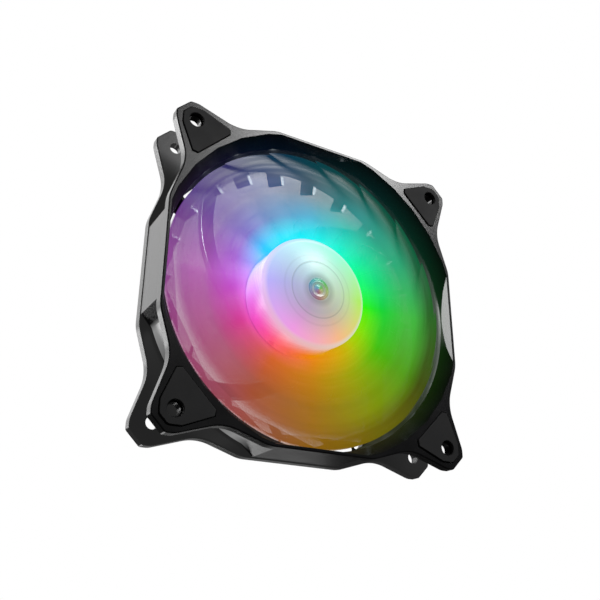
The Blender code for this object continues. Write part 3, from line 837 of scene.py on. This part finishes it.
def badge(look):
    """The plain button at the hub's centre: a few turned rings round a small dome."""
    low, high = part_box("hub_badge")
    profile = [(0, low.y), (0.0009, low.y + 0.00002), (0.0014, low.y + 0.0001), (0.0017, low.y + 0.0002)]
    profile += [(0.0021, low.y + 0.0002), (0.0024, low.y + 0.00008), (0.0031, low.y + 0.00003)]
    profile += [(0.0036, low.y + 0.00012), (0.0040, low.y + 0.0001), (BADGE_RADIUS, low.y + 0.0002)]
    profile += [(BADGE_RADIUS, high.y), (0, high.y)]
    piece = turned("hub_button", profile, [look], 96)
    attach(piece, "rotor")
    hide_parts("hub_badge")


# ---------------------------------------------------------------- materials

def linear(display):
    """A display colour, 0 to 255, as the linear values that shaders take."""
    values = []
    for value in display:
        value /= 255
        values.append(value / 12.92 if value <= 0.04045 else ((value + 0.055) / 1.055) ** 2.4)
    return (*values, 1.0)


class Look:
    """A Principled material whose nodes are added one at a time."""

    def __init__(self, name, **sockets):
        self.material = bpy.data.materials.new(name)
        self.material.use_nodes = True
        self.tree = self.material.node_tree
        self.surface = self.tree.nodes["Principled BSDF"]
        for socket, value in sockets.items():
            self.surface.inputs[socket.replace("_", " ")].default_value = value

    def add(self, kind, inputs=(), **settings):
        """Adds a node. Its inputs are values or other nodes' outputs, by name or number."""
        made = self.tree.nodes.new("ShaderNode" + kind)
        for key, value in settings.items():
            setattr(made, key, value)
        for key, value in dict(inputs).items():
            self.feed(made.inputs[key], value)
        return made

    def feed(self, socket, value):
        if isinstance(value, bpy.types.NodeSocket):
            self.tree.links.new(value, socket)
        else:
            socket.default_value = value

    def set(self, socket, value):
        self.feed(self.surface.inputs[socket], value)

    def maths(self, operation, first, second=0.0):
        return self.add("Math", {0: first, 1: second}, operation=operation).outputs[0]

    def spread(self, value, source, target):
        """Maps a value from one range to another, held at its ends."""
        inputs = {"Value": value, "From Min": source[0], "From Max": source[1]}
        inputs.update({"To Min": target[0], "To Max": target[1]})
        return self.add("MapRange", inputs).outputs["Result"]

    def line(self, value, at, half_width, most):
        """A soft line where a value passes a place: most on it, and nothing beyond its half width."""
        apart = self.maths("ABSOLUTE", self.maths("SUBTRACT", value, at))
        return self.spread(apart, (0, half_width), (most, 0))

    def place(self):
        """A point's place in metres, on the piece itself."""
        return self.add("TexCoord").outputs["Object"]

    def noise(self, scale, detail=2.0, place=None):
        inputs = {"Vector": place or self.place(), "Scale": scale, "Detail": detail}
        return self.add("TexNoise", inputs).outputs["Fac"]

    def ramp(self, value, stops):
        """Turns a value into a colour. The stops are (place, colour)."""
        made = self.add("ValToRGB", {"Fac": value})
        band = made.color_ramp
        band.elements[0].position, band.elements[0].color = stops[0]
        band.elements[1].position, band.elements[1].color = stops[-1]
        for place, colour in stops[1:-1]:
            band.elements.new(place).color = colour
        return made.outputs["Color"]

    def grey_ramp(self, value, stops):
        """Turns a value into another by (place, value) stops."""
        return self.ramp(value, [(place, (grey, grey, grey, 1)) for place, grey in stops])

    def mix(self, factor, first, second, blend="MIX"):
        made = self.add("Mix", {0: factor}, data_type="RGBA", blend_type=blend)
        self.feed(made.inputs[6], first)
        self.feed(made.inputs[7], second)
        return made.outputs[2]

    def grey(self, value):
        return self.add("CombineColor", {0: value, 1: value, 2: value}).outputs[0]

    def bump(self, height, distance):
        made = self.add("Bump", {"Height": height, "Distance": distance, "Strength": 1.0})
        self.set("Normal", made.outputs["Normal"])

    def depth(self):
        """A point's place along the spin axis, growing towards the back."""
        place = self.add("NewGeometry").outputs["Position"]
        return self.add("SeparateXYZ", {0: place}).outputs["Y"]

    def polar(self):
        """A point's distance from the spin axis and its angle about it, 0 to 1 from -X round."""
        place = self.add("NewGeometry").outputs["Position"]
        parts = self.add("SeparateXYZ", {0: place}).outputs
        flat = self.add("CombineXYZ", {0: parts["X"], 1: parts["Z"]}).outputs[0]
        radius = self.add("VectorMath", {0: flat}, operation="LENGTH").outputs["Value"]
        angle = self.maths("ARCTAN2", parts["Z"], parts["X"])
        return radius, self.spread(angle, (-math.pi, math.pi), (0, 1))


def moulded(name, colour, roughness, grain=9000.0, depth=0.00001, spread=0.08):
    """A moulded plastic or rubber: fine grain, and a finish that wanders a little."""
    look = Look(name)
    wander = look.noise(120.0, 3.0)
    shade = [tuple(value * factor for value in colour) + (1.0,) for factor in (0.85, 1.15)]
    look.set("Base Color", look.ramp(wander, [(0.3, shade[0]), (0.7, shade[1])]))
    look.set("Roughness", look.spread(wander, NOISE_RANGE, (roughness - spread, roughness + spread)))
    look.bump(look.noise(grain, 2.0), depth)
    return look


def frame_looks():
    """Black plastic: satin outside, glossier inside, with painted light on it: the lit impeller's colours in
    the mouth, a little white on the rear flange's front face and the barrel, and glints on the vanes' and
    struts' front edges.
    """
    satin = moulded("frame_satin", (0.012, 0.012, 0.013), 0.25, 14000.0, 0.000004, 0.02)
    # A little white light painted on the rear flange's front face
    rear_flange = (FLANGE_INNER - 0.001, FLANGE_INNER)
    satin.set("Emission Color", (1, 1, 1, 1))
    satin.set("Emission Strength", satin.spread(satin.depth(), rear_flange, (0.0, REAR_FLANGE_PAINTED_LIGHT)))
    inner = moulded("frame_inner", (0.010, 0.010, 0.011), 0.2, 14000.0, 0.000002, 0.02)
    mouth = moulded("frame_mouth", (0.010, 0.010, 0.011), MOUTH_ROUGHNESS[0], 14000.0, 0.000001, 0.02)
    angle = mouth.polar()[1]
    throat = THROAT_DEPTH - FLANGE_FACE
    mouth.set("Roughness", mouth.spread(mouth.depth(), (throat, throat + MOUTH_DULLS), MOUTH_ROUGHNESS))
    # The lit impeller's colours painted on the mouth's wall as light, stronger towards the blades
    mouth.set("Emission Color", round_band(mouth, angle, VEIL_OUTER))
    mouth.set("Emission Strength", mouth.spread(mouth.depth(), (-FLANGE_FACE, BLADE_FRONT), MOUTH_PAINTED_LIGHT))
    # Painted glints: white light painted on the vanes' and struts' front edges by emission
    edge = moulded("frame_painted_glint", (0.010, 0.010, 0.011), 0.2, 14000.0, 0.000002, 0.02)
    radius, angle = edge.polar()
    glint = edge.grey_ramp(angle, GLINT_SHARE)
    inside = edge.spread(radius, GLINT_ENDS, (EDGE_GLINT, 0.0))
    edge.set("Emission Color", (0.85, 0.95, 1.0, 1))
    edge.set("Emission Strength", edge.maths("MULTIPLY", glint, inside))
    # The barrel look: black satin with light from below painted on by emission
    barrel = moulded("frame_barrel_painted_light", (0.012, 0.012, 0.013), 0.25, 14000.0, 0.000004, 0.02)
    barrel.set("Emission Color", (1, 1, 1, 1))
    barrel.set("Emission Strength", barrel.grey_ramp(barrel.polar()[1], BARREL_PAINTED_LIGHT))
    return [look.material for look in (satin, inner, mouth, edge, barrel)]


def pad_rubber():
    look = moulded("pad_rubber", (0.022, 0.022, 0.023), 0.72, 6000.0, 0.00003, 0.05)
    return look.material


def round_band(look, angle, stops):
    """The lamps' colours round the axis, which stay in place while the impeller turns."""
    placed = sorted(((degrees / 360 + 0.5) % 1.0, linear(colour)) for degrees, *colour in stops)
    before, after = placed[-1], placed[0]
    share = (1 - before[0]) / (after[0] + 1 - before[0])
    seam = tuple(a + (b - a) * share for a, b in zip(before[1], after[1]))
    if after[0] > 0:
        placed = [(0.0, seam)] + placed
    return look.ramp(angle, placed + [(1.0, seam)])


def lit(look, colour, glows, reflects):
    """Shows a colour mostly by its own light, with a darker copy of it for the studio's lamps."""
    look.set("Emission Color", colour)
    look.set("Emission Strength", glows)
    look.set("Base Color", look.mix(reflects, (0, 0, 0, 1), colour))


def leant_radius(look, plane):
    """A point's distance from the spin axis once it is carried along SIDE_LEAN to a plane across the axis."""
    x, y, z = look.add("SeparateXYZ", {0: look.add("NewGeometry").outputs["Position"]}).outputs
    ahead = look.maths("SUBTRACT", plane, y)
    leant = {}
    for i, (at, lean) in enumerate(zip((x, z), SIDE_LEAN)):
        leant[i] = look.maths("ADD", at, look.maths("MULTIPLY", ahead, lean))
    flat = look.add("CombineXYZ", leant).outputs[0]
    return look.add("VectorMath", {0: flat}, operation="LENGTH").outputs["Value"]


def clearing(look):
    """What is left of the veil, 0 to 1: little before the hub's side, and less to the mouth's edge."""
    edge, least = HUB_CLEARING
    before_hub = look.spread(leant_radius(look, HUB_BACK), (HUB_RADIUS - edge, HUB_RADIUS), (least, 1))
    start, end, left = MOUTH_CLEARING
    by_mouth = look.spread(leant_radius(look, -FLANGE_FACE), (start, end), (1, left))
    return look.maths("MULTIPLY", before_hub, by_mouth)


def blade_plastic():
    """Frosted plastic lit from the hub: clear enough to see the vanes through, and clearer at its edges."""
    look = Look("blade_plastic")
    radius, angle = look.polar()
    colour = round_band(look, angle, VEIL_INNER)
    for near, far, stops in VEIL_RINGS:
        colour = look.mix(look.spread(radius, (near, far), (0, 1)), colour, round_band(look, angle, stops))
    chord = look.add("Attribute", attribute_name="chord").outputs["Fac"]
    swirl = look.add("CombineXYZ", {0: radius, 1: look.maths("MULTIPLY", chord, 0.002)}).outputs[0]
    streaks = look.noise(900.0, 3.0, swirl)
    shade = look.grey(look.spread(streaks, NOISE_RANGE, (0.96, 1.04)))
    lit(look, look.mix(1.0, colour, shade, "MULTIPLY"), 1.0, 0.15)
    look.set("Roughness", look.spread(streaks, NOISE_RANGE, (0.3, 0.45)))
    inside, rim = (look.grey_ramp(angle, stops) for stops in (VEIL_SHARE, RIM_SHARE))
    at_tip = look.spread(rim, TIP_BEND_SHARES, TIP_BEND)
    bend = look.mix(look.spread(radius, (TIP_BEND_START, BLADE_TIP_RADIUS), (0, 1)), (1, 1, 1, 1), at_tip)
    forward = look.maths("POWER", chord, bend)
    wave = look.maths("SINE", look.maths("MULTIPLY", forward, math.pi))
    share = look.mix(look.spread(radius, RIM_RING, (0, 1)), inside, rim)
    thickness = (VEIL_AT_ROOT * VEIL_THICKEST, VEIL_THICKEST)
    root = look.spread(radius, (HUB_RADIUS, VEIL_ROOT_END), thickness)
    root = look.maths("MULTIPLY", root, clearing(look))
    cover = look.maths("MULTIPLY", look.maths("MULTIPLY", wave, wave), look.maths("MULTIPLY", share, root))
    passes = look.maths("POWER", SURFACE_PASSES, cover)
    look.set("Alpha", look.maths("SUBTRACT", 1.0, passes))
    look.bump(streaks, 0.00002)
    return look.material


def hub_plastic():
    """Milky plastic over the lamps: a pale dome with painted shade round the button and faint darker rings,
    and a side full of colour, painted paler towards its front edge as a highlight.
    """
    look = Look("hub_plastic")
    radius, angle = look.polar()
    depth = look.depth()
    rim, middle = (round_band(look, angle, stops) for stops in (HUB_RIM, HUB_MIDDLE))
    dome = look.mix(look.spread(radius, (0.009, 0.0185), (0, 1)), middle, rim)
    # Painted shade round the button, and darker rings further out
    for line, half_width, dark in HUB_DARK_RINGS:
        dome = look.mix(look.line(radius, line, half_width, dark), dome, (0.1, 0.13, 0.13, 1))
    # Painted highlight: the side is paler towards its rounded front edge
    paled = look.spread(depth, (HUB_FRONT, 0.003), (0.45, 1.0))
    side = look.mix(paled, (0.8, 0.87, 1.0, 1), round_band(look, angle, HUB_SIDE))
    turned_down = look.spread(radius, (HUB_RADIUS - HUB_EDGE, HUB_RADIUS - 0.0005), (0, 1))
    colour = look.mix(turned_down, dome, side)
    lit(look, colour, 0.92, 0.25)
    wander = look.noise(60.0, 2.0)
    look.set("Roughness", look.spread(wander, NOISE_RANGE, (0.25, 0.38)))
    look.bump(look.noise(5000.0, 2.0), 0.000004)
    return look.material


def button_foil():
    """A turned, mirror-like button, with the lamps' colours painted on it as a reflection."""
    look = Look("button_foil")
    radius, angle = look.polar()
    colour = round_band(look, angle, BUTTON_PAINTED_REFLECTION)
    colour = look.mix(look.line(radius, 0.0024, 0.0008, 0.75), colour, (0.42, 0.46, 0.42, 1))
    rings = look.maths("SINE", look.maths("MULTIPLY", radius, 9000.0))
    shade = look.grey(look.spread(rings, (-1, 1), (0.9, 1.05)))
    lit(look, look.mix(1.0, colour, shade, "MULTIPLY"), 0.75, 0.4)
    look.set("Roughness", look.spread(rings, (-1, 1), (0.15, 0.3)))
    look.bump(rings, 0.00001)
    return look.material


def metal(name, colour, roughness, stretch=(1.0, 30.0, 1.0)):
    """Turned, drawn or stacked metal: fine lines across the stretched direction."""
    look = Look(name, Metallic=1.0)
    lines = look.noise(400.0, 3.0, look.add("Mapping", {"Vector": look.place(), "Scale": stretch}).outputs[0])
    shade = [tuple(value * factor for value in colour) + (1.0,) for factor in (0.8, 1.1)]
    look.set("Base Color", look.ramp(lines, [(0.3, shade[0]), (0.7, shade[1])]))
    look.set("Roughness", look.spread(lines, NOISE_RANGE, (roughness * 0.7, roughness * 1.3)))
    look.bump(lines, 0.00001)
    return look


def windings(name):
    """Enamelled wire, wound in even turns round a pole."""
    look = Look(name, Metallic=1.0)
    radius = look.polar()[0]
    turns = look.maths("SINE", look.maths("MULTIPLY", radius, math.tau / WIRE_DIAMETER))
    # Painted shade: the wire is darker where the turns meet
    look.set("Base Color", look.ramp(look.spread(turns, (-1, 1), (0, 1)), WIRE_COPPER_AND_SHADE))
    look.set("Roughness", look.spread(turns, (-1, 1), (0.45, 0.22)))
    look.bump(turns, WIRE_DIAMETER / 4)
    return look


def circuit(name):
    """Green solder mask over round copper tracks."""
    look = Look(name)
    radius = look.polar()[0]
    wander = look.maths("MULTIPLY", look.noise(260.0, 0.0), 0.004)
    tracks = look.maths("SINE", look.maths("MULTIPLY", look.maths("ADD", radius, wander), 4200.0))
    copper = look.spread(tracks, (0.1, 0.35), (0, 1))
    look.set("Base Color", look.mix(copper, (0.006, 0.05, 0.022, 1), (0.02, 0.14, 0.05, 1)))
    look.set("Roughness", look.spread(look.noise(900.0), NOISE_RANGE, (0.25, 0.4)))
    look.bump(copper, 0.00003)
    return look


def lamp_epoxy(name):
    """A small lamp's milky body, lit in the colour of its side of the hub."""
    look = moulded(name, (0.6, 0.6, 0.55), 0.25)
    look.set("Emission Color", round_band(look, look.polar()[1], VEIL_INNER))
    look.set("Emission Strength", look.spread(look.noise(500.0), NOISE_RANGE, (1.6, 2.4)))
    return look


def label_film(name):
    """A blank film label with a few plain printed rings."""
    look = Look(name)
    radius = look.polar()[0]
    rings = look.spread(look.maths("SINE", look.maths("MULTIPLY", radius, 1500.0)), (0.92, 0.97), (0, 1))
    grain = look.noise(3000.0)
    film = look.ramp(grain, [(0.3, (0.30, 0.30, 0.32, 1)), (0.7, (0.38, 0.38, 0.40, 1))])
    look.set("Base Color", look.mix(rings, film, (0.12, 0.12, 0.13, 1)))
    look.set("Roughness", look.spread(grain, NOISE_RANGE, (0.38, 0.5)))
    look.bump(grain, 0.000004)
    return look


def finish_motor():
    """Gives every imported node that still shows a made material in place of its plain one."""
    looks = {
        "yoke_steel": metal("yoke_steel", (0.45, 0.45, 0.46), 0.35),
        "magnet_ferrite": moulded("magnet_ferrite", (0.04, 0.04, 0.043), 0.6, 5000.0, 0.00002),
        "shaft_steel": metal("shaft_steel", (0.62, 0.62, 0.63), 0.15),
        "clip_plastic": moulded("clip_plastic", (0.65, 0.65, 0.62), 0.5),
        "tube_brass": metal("tube_brass", (0.70, 0.50, 0.24), 0.25),
        "sleeve_bronze": metal("sleeve_bronze", (0.42, 0.27, 0.15), 0.4, (8.0, 8.0, 8.0)),
        "seal_rubber": moulded("seal_rubber", (0.02, 0.02, 0.02), 0.7),
        "thrust_nylon": moulded("thrust_nylon", (0.7, 0.69, 0.64), 0.4),
        "stator_steel": metal("stator_steel", (0.34, 0.34, 0.36), 0.4, (0.5, 60.0, 0.5)),
        "insulator_nylon": moulded("insulator_nylon", (0.62, 0.60, 0.54), 0.45),
        "coil_copper": windings("coil_copper"),
        "board_laminate": circuit("board_laminate"),
        "light_epoxy": lamp_epoxy("light_epoxy"),
        "chip_epoxy": moulded("chip_epoxy", (0.014, 0.014, 0.014), 0.45),
        "capacitor_ceramic": moulded("capacitor_ceramic", (0.42, 0.30, 0.17), 0.4),
        "header_nylon": moulded("header_nylon", (0.70, 0.68, 0.60), 0.42),
        "label_film": label_film("label_film"),
    }
    for row in frame["record"]["subparts"]:
        finish = row["material_slot"]
        if finish in looks:
            shape = frame["nodes"][row["node"]]
            shape.material_slots[0].material = looks[finish].material


# ---------------------------------------------------------------- studio

def camera():
    data = bpy.data.cameras.new("camera")
    data.lens = CAMERA_LENS_MM
    data.sensor_width = 36.0
    data.clip_start = 0.01
    piece = bpy.data.objects.new("camera", data)
    piece.location = CAMERA_PLACE
    piece.rotation_euler = [math.radians(value) for value in CAMERA_TURN_DEGREES]
    bpy.context.scene.collection.objects.link(piece)
    bpy.context.scene.camera = piece


def softbox(name, azimuth, elevation, size, watts):
    """A square lamp that faces the fan from a metre away. Azimuth 0 is in front of it, 90 to its right."""
    data = bpy.data.lights.new(name, "AREA")
    data.shape = "SQUARE"
    data.size = size
    data.energy = watts
    lamp = bpy.data.objects.new(name, data)
    round_y, up = math.radians(azimuth), math.radians(elevation)
    outward = Vector((math.sin(round_y) * math.cos(up), -math.cos(round_y) * math.cos(up), math.sin(up)))
    lamp.location = outward
    lamp.rotation_euler = outward.to_track_quat("Z", "Y").to_euler()
    bpy.context.scene.collection.objects.link(lamp)


def studio():
    """The lamps, and a world that the camera sees as white paper but that lights only faintly."""
    for lamp in LAMPS:
        softbox(*lamp)
    world = bpy.data.worlds.new("studio")
    world.use_nodes = True
    bpy.context.scene.world = world
    tree = world.node_tree
    backdrop = tree.nodes["Background"]
    fill = tree.nodes.new("ShaderNodeBackground")
    for background, strength in ((backdrop, 1.0), (fill, WORLD_FILL)):
        background.inputs["Color"].default_value = (1, 1, 1, 1)
        background.inputs["Strength"].default_value = strength
    seen = tree.nodes.new("ShaderNodeLightPath")
    choose = tree.nodes.new("ShaderNodeMixShader")
    tree.links.new(seen.outputs["Is Camera Ray"], choose.inputs[0])
    tree.links.new(fill.outputs[0], choose.inputs[1])
    tree.links.new(backdrop.outputs[0], choose.inputs[2])
    tree.links.new(choose.outputs[0], tree.nodes["World Output"].inputs["Surface"])
    bpy.context.scene.view_settings.view_transform = "Standard"


def floor():
    """A pale floor under the fan. It is clear from below, because the camera looks up from there."""
    level = cad_box[0].z
    half = FLOOR_HALF
    corners = [(-half, -half, level), (half, -half, level), (half, half, level), (-half, half, level)]
    mesh = bpy.data.meshes.new("floor")
    mesh.from_pydata(corners, [], [(0, 1, 2, 3)])
    look = Look("floor_paint", Base_Color=(0.2, 0.2, 0.2, 1), Emission_Color=(1, 1, 1, 1))
    wander = look.noise(6.0, 2.0)
    look.set("Roughness", look.spread(wander, NOISE_RANGE, (0.75, 0.85)))
    look.bump(wander, 0.0002)
    out = look.add("VectorMath", {0: look.place()}, operation="LENGTH").outputs["Value"]
    look.set("Emission Strength", look.spread(out, (FLOOR_PALES_FROM, half), FLOOR_GLOW))
    clear = look.add("BsdfTransparent").outputs[0]
    below = look.add("NewGeometry").outputs["Backfacing"]
    shown = look.add("MixShader", {0: below, 1: look.surface.outputs[0], 2: clear}).outputs[0]
    look.feed(look.tree.nodes["Material Output"].inputs["Surface"], shown)
    mesh.materials.append(look.material)
    piece = bpy.data.objects.new("floor", mesh)
    piece.visible_glossy = piece.visible_diffuse = piece.visible_shadow = False
    bpy.context.scene.collection.objects.link(piece)


def main():
    camera()
    studio()
    frame_shell(frame_looks())
    rubber_pads(pad_rubber())
    impeller(hub_plastic(), blade_plastic())
    badge(button_foil())
    finish_motor()
    floor()


main()
